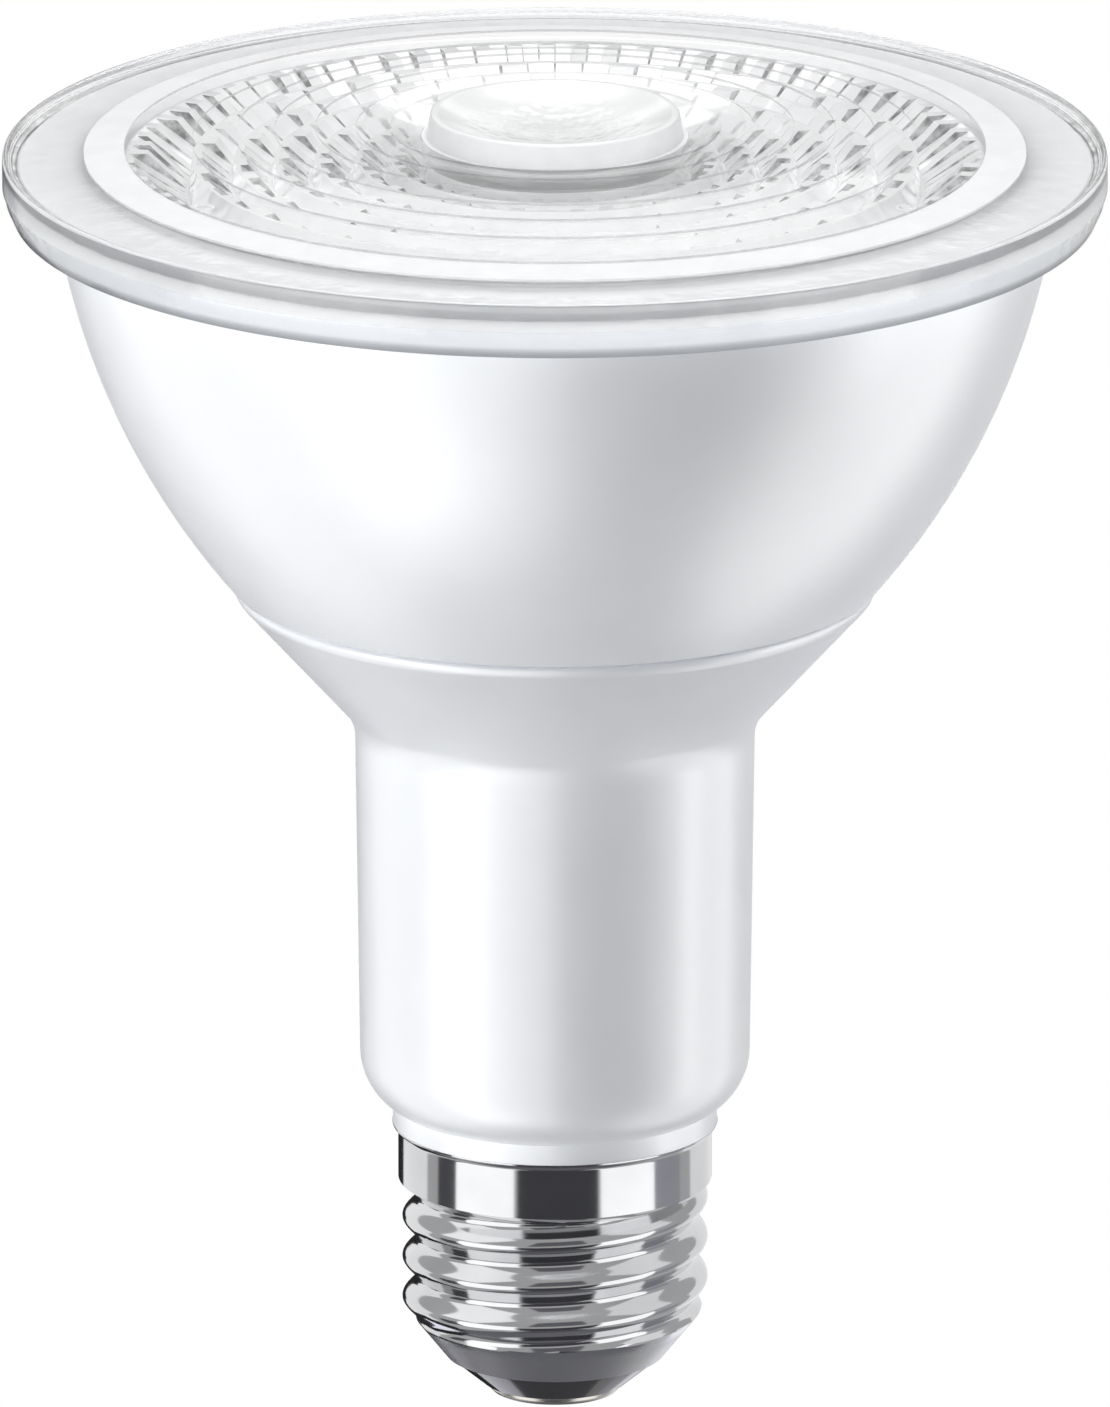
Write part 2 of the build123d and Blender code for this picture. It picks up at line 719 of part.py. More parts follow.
# Live lead: from the contact's shank, stepping over to the tongue's front face
z_shank_top = contact_thickness + shank_length
with BuildPart() as live_lead:
    with BuildLine() as live_path:
        FilletPolyline(
            (0, 0, z_shank_top),
            (0, 0, z_shank_top + (z_tongue - z_shank_top) / 3),
            (0, -lead_offset, z_tongue - lead_radius),
            (0, -lead_offset, z_tongue + pad_height),
            radius=mains_bend,
        )
    with BuildSketch(Plane.XY.offset(z_shank_top)):
        Circle(lead_radius)
    sweep(path=live_path.line)
live_lead.part.label = "live_lead"
export_step(live_lead.part, "parts/live_lead.step")

# Neutral lead: from the shell's wall just below the spigot, then up the tongue's back face
z_neutral = z_spigot - lead_radius - lap
neutral_x = tongue_width / 4
neutral_end = math.sqrt(thread_bore_radius**2 - (lead_offset + lead_radius) ** 2) - fit / 2
with BuildPart() as neutral_lead:
    with BuildLine() as neutral_path:
        FilletPolyline(
            (neutral_end, lead_offset, z_neutral),
            (neutral_x, lead_offset, z_neutral),
            (neutral_x, lead_offset, z_tongue + pad_height),
            radius=mains_bend,
        )
    with BuildSketch(Plane((neutral_end, lead_offset, z_neutral), x_dir=(0, 1, 0), z_dir=(-1, 0, 0))):
        Circle(lead_radius)
    sweep(path=neutral_path.line)
neutral_lead.part.label = "neutral_lead"
export_step(neutral_lead.part, "parts/neutral_lead.step")
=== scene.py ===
import math

import bmesh
import bpy
from mathutils import Matrix, Vector


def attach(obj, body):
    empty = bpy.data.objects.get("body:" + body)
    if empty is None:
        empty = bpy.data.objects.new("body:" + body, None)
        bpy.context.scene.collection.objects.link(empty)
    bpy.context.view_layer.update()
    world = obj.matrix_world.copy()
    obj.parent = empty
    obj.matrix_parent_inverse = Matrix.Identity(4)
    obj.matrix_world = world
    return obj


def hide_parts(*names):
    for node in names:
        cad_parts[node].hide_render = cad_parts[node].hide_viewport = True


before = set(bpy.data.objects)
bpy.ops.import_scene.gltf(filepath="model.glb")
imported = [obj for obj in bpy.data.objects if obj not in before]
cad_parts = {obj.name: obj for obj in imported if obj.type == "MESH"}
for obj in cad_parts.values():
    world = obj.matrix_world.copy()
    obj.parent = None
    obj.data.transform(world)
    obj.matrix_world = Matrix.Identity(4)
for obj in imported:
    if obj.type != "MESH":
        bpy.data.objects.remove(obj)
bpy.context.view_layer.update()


# Centre contact: a stamped disc of plated brass, held by its shank, which is riveted in the insulator.
# Its lower edge is broken by the stamping, and its face is dulled by touch.
mm = 0.001


class Wire:
    """One value in a material: sums on it add Math nodes, and node() adds any other node."""

    def __init__(self, tree, socket=None):
        self.tree = tree
        self.socket = socket

    def node(self, kind, settings, inputs, output=0):
        made = self.tree.nodes.new(kind)
        for name, value in settings.items():
            if name == "stops":
                stops = made.color_ramp.elements
                while len(stops) < len(value):
                    stops.new(0.5)
                for stop, (place, shade) in zip(stops, value):
                    stop.position = place
                    stop.color = (*shade, 1)
            else:
                setattr(made, name, value)
        for name, value in inputs.items():
            if isinstance(value, Wire):
                self.tree.links.new(value.socket, made.inputs[name])
            else:
                made.inputs[name].default_value = value
        return Wire(self.tree, made.outputs[output])

    def math(self, operation, first, second=0.0):
        return self.node("ShaderNodeMath", {"operation": operation}, {0: first, 1: second})

    def __add__(self, other):
        return self.math("ADD", self, other)

    def __sub__(self, other):
        return self.math("SUBTRACT", self, other)

    def __rsub__(self, other):
        return self.math("SUBTRACT", other, self)

    def __mul__(self, other):
        return self.math("MULTIPLY", self, other)

    __radd__ = __add__
    __rmul__ = __mul__

    def between(self, low, high):
        """0 below low, 1 above high, and smooth in between."""
        span = {"Value": self, "From Min": low, "From Max": high}
        return self.node("ShaderNodeMapRange", {"interpolation_type": "SMOOTHSTEP"}, span)

    def into(self, shader, name):
        self.tree.links.new(self.socket, shader.inputs[name])


def finish(name, colours, grain, roughness, bump, **fixed):
    """A material that varies a little between two colours, in gloss and in relief.

    The grain is in millimetres. A section that gives the colour or the gloss itself passes None.
    """
    made = bpy.data.materials.new(name)
    made.use_nodes = True
    tree = made.node_tree
    shader = tree.nodes["Principled BSDF"]
    for socket, value in fixed.items():
        shader.inputs[socket.replace("_", " ")].default_value = value
    sheet = Wire(tree)
    place = sheet.node("ShaderNodeTexCoord", {}, {}, "Object")
    patches = {"Vector": place, "Scale": 0.12 / (grain * mm), "Detail": 3.0}
    broad = sheet.node("ShaderNodeTexNoise", {}, patches)
    if colours:
        stops = list(zip((0.35, 0.65), colours))
        sheet.node("ShaderNodeValToRGB", {"stops": stops}, {"Fac": broad}).into(shader, "Base Color")
    if roughness:
        gloss = roughness * (0.85 + 0.3 * broad)
        gloss.into(shader, "Roughness")
    if bump:
        specks = {"Vector": place, "Scale": 1 / (grain * mm), "Detail": 2.0}
        fine = sheet.node("ShaderNodeTexNoise", {}, specks)
        relief = {"Strength": bump, "Distance": 0.05 * grain * mm, "Height": fine}
        sheet.node("ShaderNodeBump", {}, relief).into(shader, "Normal")
    return made, sheet, shader, place


def spun(outline, closed, steps):
    """Turns an outline of (radius, height) points in millimetres about the lamp's axis."""
    mesh = bmesh.new()
    points = [mesh.verts.new((radius * mm, 0, height * mm)) for radius, height in outline]
    ends = points[1:] + points[:1] if closed else points[1:]
    for start, end in zip(points, ends):
        mesh.edges.new((start, end))
    geometry = mesh.verts[:] + mesh.edges[:]
    bmesh.ops.spin(mesh, geom=geometry, axis=(0, 0, 1), angle=math.tau, steps=steps, use_merge=True)
    bmesh.ops.remove_doubles(mesh, verts=mesh.verts, dist=0.002 * mm)
    bmesh.ops.recalc_face_normals(mesh, faces=mesh.faces)
    return mesh


def rounded(mesh, radius, height, fillet, segments):
    """Rounds the edge that runs round the piece at that radius and height."""
    near = 0.02 * mm

    def on_edge(vert):
        off = abs(math.hypot(vert.co.x, vert.co.y) - radius * mm)
        return off < near and abs(vert.co.z - height * mm) < near

    edges = [edge for edge in mesh.edges if on_edge(edge.verts[0]) and on_edge(edge.verts[1])]
    reach = fillet * mm * math.tan(edges[0].calc_face_angle() / 2)
    bmesh.ops.bevel(
        mesh, geom=edges, offset=reach, offset_type="OFFSET", segments=segments, profile=0.5,
        affect="EDGES", material=-1, clamp_overlap=True,
    )


def smoothed(mesh):
    """Shades the faces made so far as curved. The edges that piece() finds sharp stay sharp."""
    for face in mesh.faces:
        face.smooth = True


def piece(name, mesh, materials, node):
    """Makes the finished mesh an object that stands for its CAD node."""
    data = bpy.data.meshes.new(name)
    mesh.to_mesh(data)
    mesh.free()
    for material in materials:
        data.materials.append(material)
    data.set_sharp_from_angle(angle=math.radians(34))
    made = bpy.data.objects.new(name, data)
    bpy.context.scene.collection.objects.link(made)
    shading = made.modifiers.new("even_shading", "WEIGHTED_NORMAL")
    shading.keep_sharp = True
    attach(made, "root")
    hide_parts(node)
    return made


disc_radius = 5.7
disc_thickness = 0.7
edge_break = 0.233
shank_radius = 1.5
shank_top = 5.9
contact = spun(
    [
        (0, 0), (disc_radius - edge_break, 0), (disc_radius, edge_break), (disc_radius, disc_thickness),
        (shank_radius, disc_thickness), (shank_radius, shank_top), (0, shank_top),
    ],
    False, 96,
)
rounded(contact, disc_radius, edge_break, fillet=0.3, segments=3)
rounded(contact, disc_radius, disc_thickness, fillet=0.12, segments=3)
smoothed(contact)
contact_metal = finish(
    "contact_metal", ((0.60, 0.58, 0.54), (0.74, 0.71, 0.66)),
    grain=0.4, roughness=0.28, bump=0.15, Metallic=1.0,
)[0]
contact_disc = piece("contact_disc", contact, [contact_metal], "centre_contact")


# Base insulator: a moulded black cone between contact and shell, glossy as it leaves the mould.
# The shell's lip is crimped in the groove above the cone.
rivet_bore = 1.6
cone_foot = 6.2
cone_radius = 9.3
groove_radius = 8.75
plug_radius = 9.2
plug_top = 5.05
z_lip, z_lip_top = 3.3, 3.65
insulator = spun(
    [
        (rivet_bore, disc_thickness), (cone_foot, disc_thickness), (cone_radius, z_lip),
        (groove_radius, z_lip), (groove_radius, z_lip_top), (plug_radius, z_lip_top),
        (plug_radius, plug_top), (rivet_bore, plug_top),
    ],
    True, 128,
)
rounded(insulator, cone_foot, disc_thickness, fillet=0.25, segments=4)
rounded(insulator, cone_radius, z_lip, fillet=0.1, segments=3)
smoothed(insulator)
insulator_black = finish(
    "insulator_black", ((0.018, 0.016, 0.015), (0.034, 0.030, 0.028)),
    grain=0.6, roughness=0.1, bump=0.0, Coat_Weight=0.4,
)[0]
insulator_cone = piece("insulator_cone", insulator, [insulator_black], "base_insulator")


# Screw shell: thin brass, nickel plated and rolled to the round-crested thread, with a flared top edge.
# The bevel below the thread is left satin by the crimping tool.
pitch = 3.629
root_radius = 12.05
thread_depth = 1.15
thread_foot = 2.871
thread_from, thread_to = 3.5, 18.9
lip_hole, lip_radius = 8.85, 9.5
bevel_rise = 3.2
z_root_end, z_plain = 18.3, 19.2
plain_radius = 13.55
plain_bore, root_bore = 13.2, 11.7
z_shell_top = 24.2


def bevel_radius(height):
    """The radius of the bevel, which opens upwards from the crimped lip, at that height."""
    return lip_radius + (height - z_lip) * (root_radius - lip_radius) / bevel_rise


shell_outline = [(lip_hole, z_lip), (lip_radius, z_lip)]
rows = 110
for row in range(1, rows + 1):
    height = z_lip + (z_plain - z_lip) * row / rows
    radius = min(bevel_radius(height), root_radius)
    if height > z_root_end:
        widening = (height - z_root_end) / (z_plain - z_root_end)
        radius = root_radius + widening * (plain_radius - root_radius)
    shell_outline.append((radius, height))
shell_outline += [(plain_radius, 23.5), (13.62, 23.72), (13.8, 23.95), (14.05, 24.08), (14.05, z_shell_top)]
shell_outline += [(plain_bore, z_shell_top), (plain_bore, z_plain), (root_bore, z_root_end)]
shell_outline += [(root_bore, z_lip + bevel_rise), (lip_radius, z_lip_top), (lip_hole, z_lip_top)]
shell = spun(shell_outline, True, 256)
for vert in shell.verts:
    radius = math.hypot(vert.co.x, vert.co.y) / mm
    height = vert.co.z / mm
    outer_wall = min(bevel_radius(height), root_radius) - 0.01
    if radius < outer_wall or not thread_from <= height <= thread_to:
        continue
    turn = math.atan2(vert.co.y, vert.co.x) / math.tau
    phase = ((height - thread_foot) / pitch - turn) % 1.0
    crest = root_radius + thread_depth * (0.5 + 0.5 * math.cos(math.tau * phase))
    rolled = max(radius, min(crest, bevel_radius(height)))
    vert.co.x *= rolled / radius
    vert.co.y *= rolled / radius
smoothed(shell)
nickel, sheet, shader, place = finish(
    "bright_nickel", ((0.62, 0.625, 0.635), (0.69, 0.695, 0.705)),
    grain=0.8, roughness=None, bump=0.0, Metallic=1.0,
)
level = sheet.node("ShaderNodeSeparateXYZ", {}, {"Vector": place}, "Z")
satin = 1 - level.between(5.6 * mm, 7.2 * mm)
drawn_out = sheet.node("ShaderNodeMapping", {}, {"Vector": place, "Scale": (1, 1, 14)})
streaks = sheet.node("ShaderNodeTexNoise", {}, {"Vector": drawn_out, "Scale": 500.0, "Detail": 3.0})
(0.07 + 0.06 * streaks + 0.24 * satin).into(shader, "Roughness")
grit_grain = 0.14
grit = {"Vector": place, "Scale": 1 / (grit_grain * mm), "Detail": 2.0}
grit = sheet.node("ShaderNodeTexNoise", {}, grit)
relief = {"Strength": 0.5, "Distance": 0.02 * mm, "Height": grit * satin}
sheet.node("ShaderNodeBump", {}, relief).into(shader, "Normal")
threaded_shell = piece("threaded_shell", shell, [nickel], "screw_shell")


# Neck housing: white moulded plastic from the collar on the shell up to the cone below the seam.
# Its spigot fills the shell, and two pairs of rails inside hold the driver board.
collar_radius = 14.0
neck_foot = (16.835, 30.763)
neck_top = (17.25, 60.5)
cone_top = (27.522, 71.909)
seam_edge = (27.85, 72.81)
spigot_outline = [
    (collar_radius, 26.0), (collar_radius, z_shell_top), (13.1, z_shell_top), (13.1, 19.4),
    (11.6, 19.4), (11.6, 9.6),
]
inner_outline = [
    (10.2, 9.6), (10.2, 27.8), (15.035, 27.8), (15.035, 60.73), (23.278, 69.885), (23.278, 75.81),
]
outer_outline = [(25.078, 75.81), (25.078, 72.81), seam_edge, cone_top, neck_top, neck_foot]
bend_radius = 5.5
bend_steps = 8
for step in range(1, bend_steps + 1):
    bend = math.radians(60 * step / bend_steps)
    inwards = bend_radius * (1 - math.cos(bend))
    outer_outline.append((neck_foot[0] - inwards, neck_foot[1] - bend_radius * math.sin(bend)))
neck = spun(spigot_outline + inner_outline + outer_outline, True, 192)
rounded(neck, *neck_top, fillet=4.0, segments=10)
rounded(neck, *cone_top, fillet=1.5, segments=4)
rounded(neck, *seam_edge, fillet=0.4, segments=5)
smoothed(neck)
rail_size = Matrix.Diagonal((2.6 * mm, 1.3 * mm, 26.0 * mm, 1))
for side in (-1, 1):
    for edge in (-1, 1):
        rail_place = Matrix.Translation((side * 13.735 * mm, edge * 1.55 * mm, 40.8 * mm))
        bmesh.ops.create_cube(neck, size=1, matrix=rail_place @ rail_size)
white_plastic = finish(
    "white_plastic", ((0.82, 0.838, 0.868), (0.83, 0.848, 0.878)),
    grain=0.5, roughness=0.36, bump=0.03, Coat_Weight=0.4, Coat_Roughness=0.3,
)[0]
white_neck = piece("white_neck", neck, [white_plastic], "neck_housing")


# Bowl housing: the reflector bowl, moulded in the neck's white plastic and pushed on its spigot at the seam.
# One round arc makes its side, and the flange at its mouth carries the lens.
arc_middle = (-21.7692, 115.566)
arc_radius = 65.5
arc_from, arc_to = -40.495, -8.5671
arc_steps = 24
z_flange = 105.809
flange_radius, flange_top = 46.0, 108.009
z_bowl_foot, z_groove = 72.809, 73.03
bowl_outline = []
for step in range(arc_steps + 1):
    swing = math.radians(arc_from + (arc_to - arc_from) * step / arc_steps)
    radius = arc_middle[0] + arc_radius * math.cos(swing)
    bowl_outline.append((radius, arc_middle[1] + arc_radius * math.sin(swing)))
bowl_outline += [(flange_radius, z_flange), (flange_radius, flange_top), (41.28, flange_top)]
bowl_outline += [(36.535, 90.409), (25.178, z_bowl_foot), (27.2, z_bowl_foot), (27.2, z_groove)]
bowl = spun(bowl_outline, True, 256)
rounded(bowl, 43.0, z_flange, fillet=0.8, segments=5)
rounded(bowl, 28.04, z_groove, fillet=0.25, segments=3)
smoothed(bowl)
white_bowl = piece("white_bowl", bowl, [white_plastic], "bowl_housing")


# Driver and light engine: bought-in parts on a board in the neck, and LEDs on a board on the heat sink.
# They keep their CAD shapes, as the lens blurs them and the housing hides them.
# Each row has the darker and lighter colour, the grain in millimetres, roughness, relief and metal.
inner_finishes = {
    "heat_sink": ((0.66, 0.66, 0.67), (0.78, 0.78, 0.79), 0.6, 0.4, 0.1, 1.0),
    "led_board": ((0.74, 0.74, 0.72), (0.80, 0.80, 0.78), 0.5, 0.35, 0.05, 0.0),
    "led_packages": ((0.80, 0.62, 0.18), (0.86, 0.70, 0.26), 0.2, 0.3, 0.05, 0.0),
    "led_board_screws": ((0.45, 0.45, 0.45), (0.62, 0.62, 0.61), 0.3, 0.3, 0.1, 1.0),
    "led_connector": ((0.72, 0.71, 0.67), (0.80, 0.79, 0.75), 0.3, 0.5, 0.1, 0.0),
    "led_lead_positive": ((0.42, 0.02, 0.015), (0.52, 0.035, 0.025), 0.3, 0.45, 0.05, 0.0),
    "led_lead_negative": ((0.012, 0.012, 0.012), (0.03, 0.03, 0.03), 0.3, 0.45, 0.05, 0.0),
    "driver_board": ((0.012, 0.075, 0.028), (0.025, 0.12, 0.05), 0.8, 0.4, 0.1, 0.0),
    "filter_choke": ((0.03, 0.03, 0.033), (0.06, 0.06, 0.064), 0.3, 0.6, 0.2, 0.0),
    "transformer_winding": ((0.55, 0.38, 0.03), (0.68, 0.48, 0.06), 0.4, 0.3, 0.1, 0.0),
    "transformer_core": ((0.035, 0.035, 0.038), (0.06, 0.06, 0.064), 0.3, 0.55, 0.2, 0.0),
    "switching_transistor": ((0.015, 0.015, 0.016), (0.03, 0.03, 0.032), 0.2, 0.55, 0.2, 0.0),
    "controller_chip": ((0.015, 0.015, 0.016), (0.03, 0.03, 0.032), 0.2, 0.55, 0.2, 0.0),
    "fuse_resistor": ((0.16, 0.32, 0.26), (0.24, 0.42, 0.34), 0.3, 0.55, 0.1, 0.0),
    "bridge_rectifier": ((0.015, 0.015, 0.016), (0.03, 0.03, 0.032), 0.2, 0.55, 0.2, 0.0),
    "bulk_capacitor": ((0.012, 0.016, 0.05), (0.02, 0.028, 0.08), 0.4, 0.3, 0.05, 0.0),
    "film_capacitor": ((0.42, 0.04, 0.02), (0.54, 0.07, 0.035), 0.4, 0.4, 0.1, 0.0),
    "live_lead": ((0.012, 0.012, 0.012), (0.03, 0.03, 0.03), 0.3, 0.45, 0.05, 0.0),
    "neutral_lead": ((0.68, 0.68, 0.66), (0.76, 0.76, 0.74), 0.3, 0.45, 0.05, 0.0),
}
for node, (dark, light, grain, roughness, bump, metal) in inner_finishes.items():
    inner_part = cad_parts[node]
    inner_part.data.materials.clear()
    made = finish(node + "_finish", (dark, light), grain, roughness, bump, Metallic=metal)[0]
    inner_part.data.materials.append(made)


# Front lens: clear moulded plastic in one piece with its rim, which grips the bowl's flange.
# Steps on the face and flat-sided prism rings below it turn the light, and the centre cup is pebbled.
z_seat, z_web, z_rim = 108.029, 110.409, 110.909
rim_radius, skirt_radius, skirt_foot = 47.5, 47.2, 46.6
skirt_bore = 46.1
frosted_radius = 40.5
frosted_rise = 0.15
step_radii = [37.0, 31.2, 27.5, 24.1, 20.6, 17.1, 14.2]
step_heights = [0.75, 1.3, 1.85, 2.25, 2.45, 2.5, 2.45]
optic_radius = step_radii[0]
riser = 0.22
moat_radius, moat_edge = 11.05, 11.45
cup_radius = 10.7
z_moat = z_rim + 2.45 - 0.9
z_cup = z_moat + 2.1
dish_edge = 10.1
dish_depth = 2.6
dish_steps = 12
dish_radius = (dish_edge**2 + dish_depth**2) / (2 * dish_depth)
lens_outline = []
for step in range(dish_steps + 1):
    swing = math.asin(dish_edge / dish_radius) * step / dish_steps
    rise = dish_radius * (1 - math.cos(swing))
    lens_outline.append((dish_radius * math.sin(swing), z_cup - dish_depth + rise))
lens_outline += [(cup_radius, z_cup), (moat_radius, z_moat), (moat_edge, z_moat)]
for radius, height in zip(reversed(step_radii), reversed(step_heights)):
    lens_outline += [(radius, z_rim + height), (radius, z_rim + height - riser)]
lens_outline += [
    (frosted_radius, z_rim + frosted_rise), (frosted_radius, z_rim + frosted_rise - riser),
    (flange_radius, z_rim - 0.6), (rim_radius, z_rim), (rim_radius, z_seat), (skirt_radius, z_seat),
    (skirt_radius, z_seat - 0.9), (skirt_foot, z_flange), (skirt_bore, z_flange), (skirt_bore, z_seat),
    (frosted_radius, z_seat), (37.35, z_seat - 1.925), (optic_radius, z_seat), (optic_radius, z_web),
]
prism_edges = step_radii + [moat_radius]
prism_gap = 0.3
prism_slope = 0.55
tip_from, tip_to = 0.65, 0.35
for outer, inner in zip(prism_edges, prism_edges[1:]):
    tip = z_web - (outer - prism_gap - inner) * prism_slope
    lens_outline += [(outer - prism_gap, z_web), (inner + tip_from, tip)]
    lens_outline += [(inner + tip_to, tip), (inner, z_web)]
recess_radius = 7.5
z_recess = z_web + 0.6
lens_outline += [(recess_radius, z_web), (recess_radius, z_recess), (0, z_recess)]

# The round rings become flat-sided: each side has two facets, one of them set back by an uneven share
# of the ring's width, and the outermost ring has twice as many, half as wide.
sides = 40
side_steps = 8
least_set_back, more_set_back = 0.08, 0.24
lens = spun(lens_outline, False, side_steps * sides)
for vert in lens.verts:
    radius = math.hypot(vert.co.x, vert.co.y) / mm
    ring = sum(radius < edge - 0.01 for edge in step_radii) - 1
    if vert.co.z > (z_web + 0.01) * mm or ring < 0 or radius < prism_edges[ring + 1] + 0.01:
        continue
    turn = math.atan2(vert.co.y, vert.co.x) / math.tau * sides + 0.5 * (ring % 2)
    mixed_up = (math.floor(turn) * 7 + ring * 11) % 5 / 4
    set_back = (least_set_back + more_set_back * mixed_up) * (prism_edges[ring] - prism_edges[ring + 1])
    flatten = math.cos(math.pi / sides) / math.cos((turn % 1.0 - 0.5) * math.tau / sides)
    columns = 4 if ring == 0 else side_steps
    half = columns // 2
    column = round(side_steps * turn) % columns
    is_set_back = column < half
    along_facet = 0.02 + 0.46 * (column % half / (half - 1))
    if not is_set_back:
        along_facet += 0.5
    shift = along_facet * columns / side_steps - column / side_steps
    if is_set_back and vert.co.z > (z_web - 0.01) * mm:
        flatten -= set_back / radius
    vert.co = Matrix.Rotation(shift * math.tau / sides, 4, "Z") @ vert.co
    vert.co.x *= flatten
    vert.co.y *= flatten
rounded(lens, rim_radius, z_rim, fillet=0.3, segments=4)
rounded(lens, rim_radius, z_seat, fillet=0.1, segments=2)
rounded(lens, skirt_foot, z_flange, fillet=0.15, segments=3)
rounded(lens, cup_radius, z_cup, fillet=0.25, segments=4)
rounded(lens, dish_edge, z_cup, fillet=0.2, segments=3)
bmesh.ops.recalc_face_normals(lens, faces=lens.faces)
smoothed(lens)


def from_axis(sheet, place):
    """How far a point of the lens is from the lamp's axis."""
    across = sheet.node("ShaderNodeVectorMath", {"operation": "MULTIPLY"}, {0: place, 1: (1, 1, 0)})
    return sheet.node("ShaderNodeVectorMath", {"operation": "LENGTH"}, {0: across}, "Value")


# The clear plastic of rim and skirt, with a painted shadow that darkens it towards the skirt's lower edge,
# where it meets the bowl.
clear_plastic, sheet, shader, place = finish(
    "clear_plastic", None, grain=2.5, roughness=0.12, bump=0.3, Transmission_Weight=1.0, IOR=1.49,
)
level = sheet.node("ShaderNodeSeparateXYZ", {}, {"Vector": place}, "Z")
up_skirt = level.between(z_flange * mm, (z_seat + 0.5) * mm)
# Painted shadow: the skirt's colour falls to grey at its foot.
skirt_shadow_stops = [
    (0.0, (0.58, 0.59, 0.60)), (0.3, (0.92, 0.925, 0.93)), (0.8, (0.94, 0.945, 0.95)),
    (1.0, (0.97, 0.978, 0.985)),
]
sheet.node("ShaderNodeValToRGB", {"stops": skirt_shadow_stops}, {"Fac": up_skirt}).into(shader, "Base Color")

# The frosted ring round the optic, the white seat that shows through the flat ring, and the prisms' sides,
# painted near black to light grey as painted shade for clear prisms' dark inner reflections.
frosted_plastic = finish(
    "frosted_plastic", ((0.77, 0.775, 0.785), (0.81, 0.815, 0.825)),
    grain=0.3, roughness=0.4, bump=0.1, IOR=1.49,
)[0]
seat_white = finish(
    "seat_white", ((0.84, 0.845, 0.855), (0.88, 0.885, 0.895)),
    grain=0.3, roughness=0.4, bump=0.1, IOR=1.49,
)[0]
prism_faces = finish(
    "prism_faces", ((0.90, 0.905, 0.915), (0.95, 0.955, 0.96)),
    grain=0.8, roughness=0.15, bump=0.0, Coat_Weight=1.0, Coat_Roughness=0.05,
)[0]
# Painted shade: the prisms' sides run from near black to light grey.
prism_wall_shade = finish(
    "prism_wall_shade", ((0.10, 0.102, 0.106), (0.72, 0.725, 0.73)),
    grain=0.15, roughness=0.15, bump=0.0, Coat_Weight=1.0, Coat_Roughness=0.05,
)[0]

# The steps' film: clear, with painted light next to the cup, where the film turns whiter over the cup's
# shadow, and with the rings that two ejector pins left.
step_treads, sheet, shader, place = finish(
    "step_treads", ((0.92, 0.925, 0.935), (0.95, 0.955, 0.96)),
    grain=0.8, roughness=0.05, bump=0.0, Coat_Weight=1.0,
)
pin_side, pin_front = 30.0, 20.2
both_sides = sheet.node("ShaderNodeVectorMath", {"operation": "ABSOLUTE"}, {0: place})
sideways_off = {0: both_sides, 1: (1, 0, 0), 2: (-pin_side * mm, pin_front * mm, 0)}
sideways_off = sheet.node("ShaderNodeVectorMath", {"operation": "MULTIPLY_ADD"}, sideways_off)
pin_off = {0: place, 1: (0, 1, 0), 2: sideways_off}
pin_off = sheet.node("ShaderNodeVectorMath", {"operation": "MULTIPLY_ADD"}, pin_off)
from_pin = sheet.node("ShaderNodeVectorMath", {"operation": "LENGTH"}, {0: pin_off}, "Value")
pin_mark = from_pin.between(0.55 * mm, 0.7 * mm) - from_pin.between(0.8 * mm, 0.95 * mm)
# Painted light: the film grows more opaque near the cup, to cover the cup's shadow beneath.
cup_shadow_cover = 1 - from_axis(sheet, place).between(15.0 * mm, 19.0 * mm)
(0.2 + 0.5 * pin_mark + 0.35 * cup_shadow_cover).into(shader, "Alpha")
# The steps' risers: a half-clear grey film, painted shade for the thin dark lines that clear steps show at
# their edges.
step_riser_shade = finish(
    "step_riser_shade", ((0.50, 0.505, 0.515), (0.58, 0.585, 0.59)),
    grain=0.8, roughness=0.1, bump=0.0, Alpha=0.5,
)[0]

# The cup's dish, pebbled, with painted shade: darker in its middle and in each pebble's hollow.
cup_white, sheet, shader, place = finish(
    "cup_white", None, grain=0.3, roughness=0.25, bump=0.0, Coat_Weight=0.3,
)
pebble_size = 1.1
pebbles = {"Vector": place, "Scale": 1 / (pebble_size * mm)}
pebbles = sheet.node("ShaderNodeTexVoronoi", {}, pebbles, "Distance")
off_centre = from_axis(sheet, place)
pebbles = pebbles * (1 - off_centre.between(6.5 * mm, 8.5 * mm))
# Painted shade: the dish darkens towards its middle and into each pebble's hollow.
dish_shade = off_centre.between(3.0 * mm, 8.0 * mm) + 0.4 * pebbles
cup_shade_stops = [(0.0, (0.62, 0.625, 0.63)), (1.0, (0.78, 0.785, 0.79))]
sheet.node("ShaderNodeValToRGB", {"stops": cup_shade_stops}, {"Fac": dish_shade}).into(shader, "Base Color")
relief = {"Strength": 0.5, "Distance": 0.4 * mm, "Height": pebbles}
sheet.node("ShaderNodeBump", {}, relief).into(shader, "Normal")

lens_finishes = [
    clear_plastic, frosted_plastic, prism_faces, prism_wall_shade,
    step_treads, step_riser_shade, cup_white, seat_white,
]
for face in lens.faces:
    middle = face.calc_center_median()
    radius = math.hypot(middle.x, middle.y) / mm
    height = middle.z / mm
    sideways = abs(face.normal.x * middle.y - face.normal.y * middle.x) / (radius * mm)
    if frosted_radius < radius < flange_radius and height < z_seat + 0.01:
        here = seat_white
    elif radius > optic_radius:
        here = frosted_plastic if radius < frosted_radius else clear_plastic
    elif height < z_recess + 0.01:
        here = prism_wall_shade if sideways > 0.35 else prism_faces
    elif radius < moat_edge:
        here = frosted_plastic if radius > cup_radius else cup_white
    else:
        here = step_treads if face.normal.z > 0.5 else step_riser_shade
    face.material_index = lens_finishes.index(here)
clear_lens = piece("clear_lens", lens, lens_finishes, "front_lens")


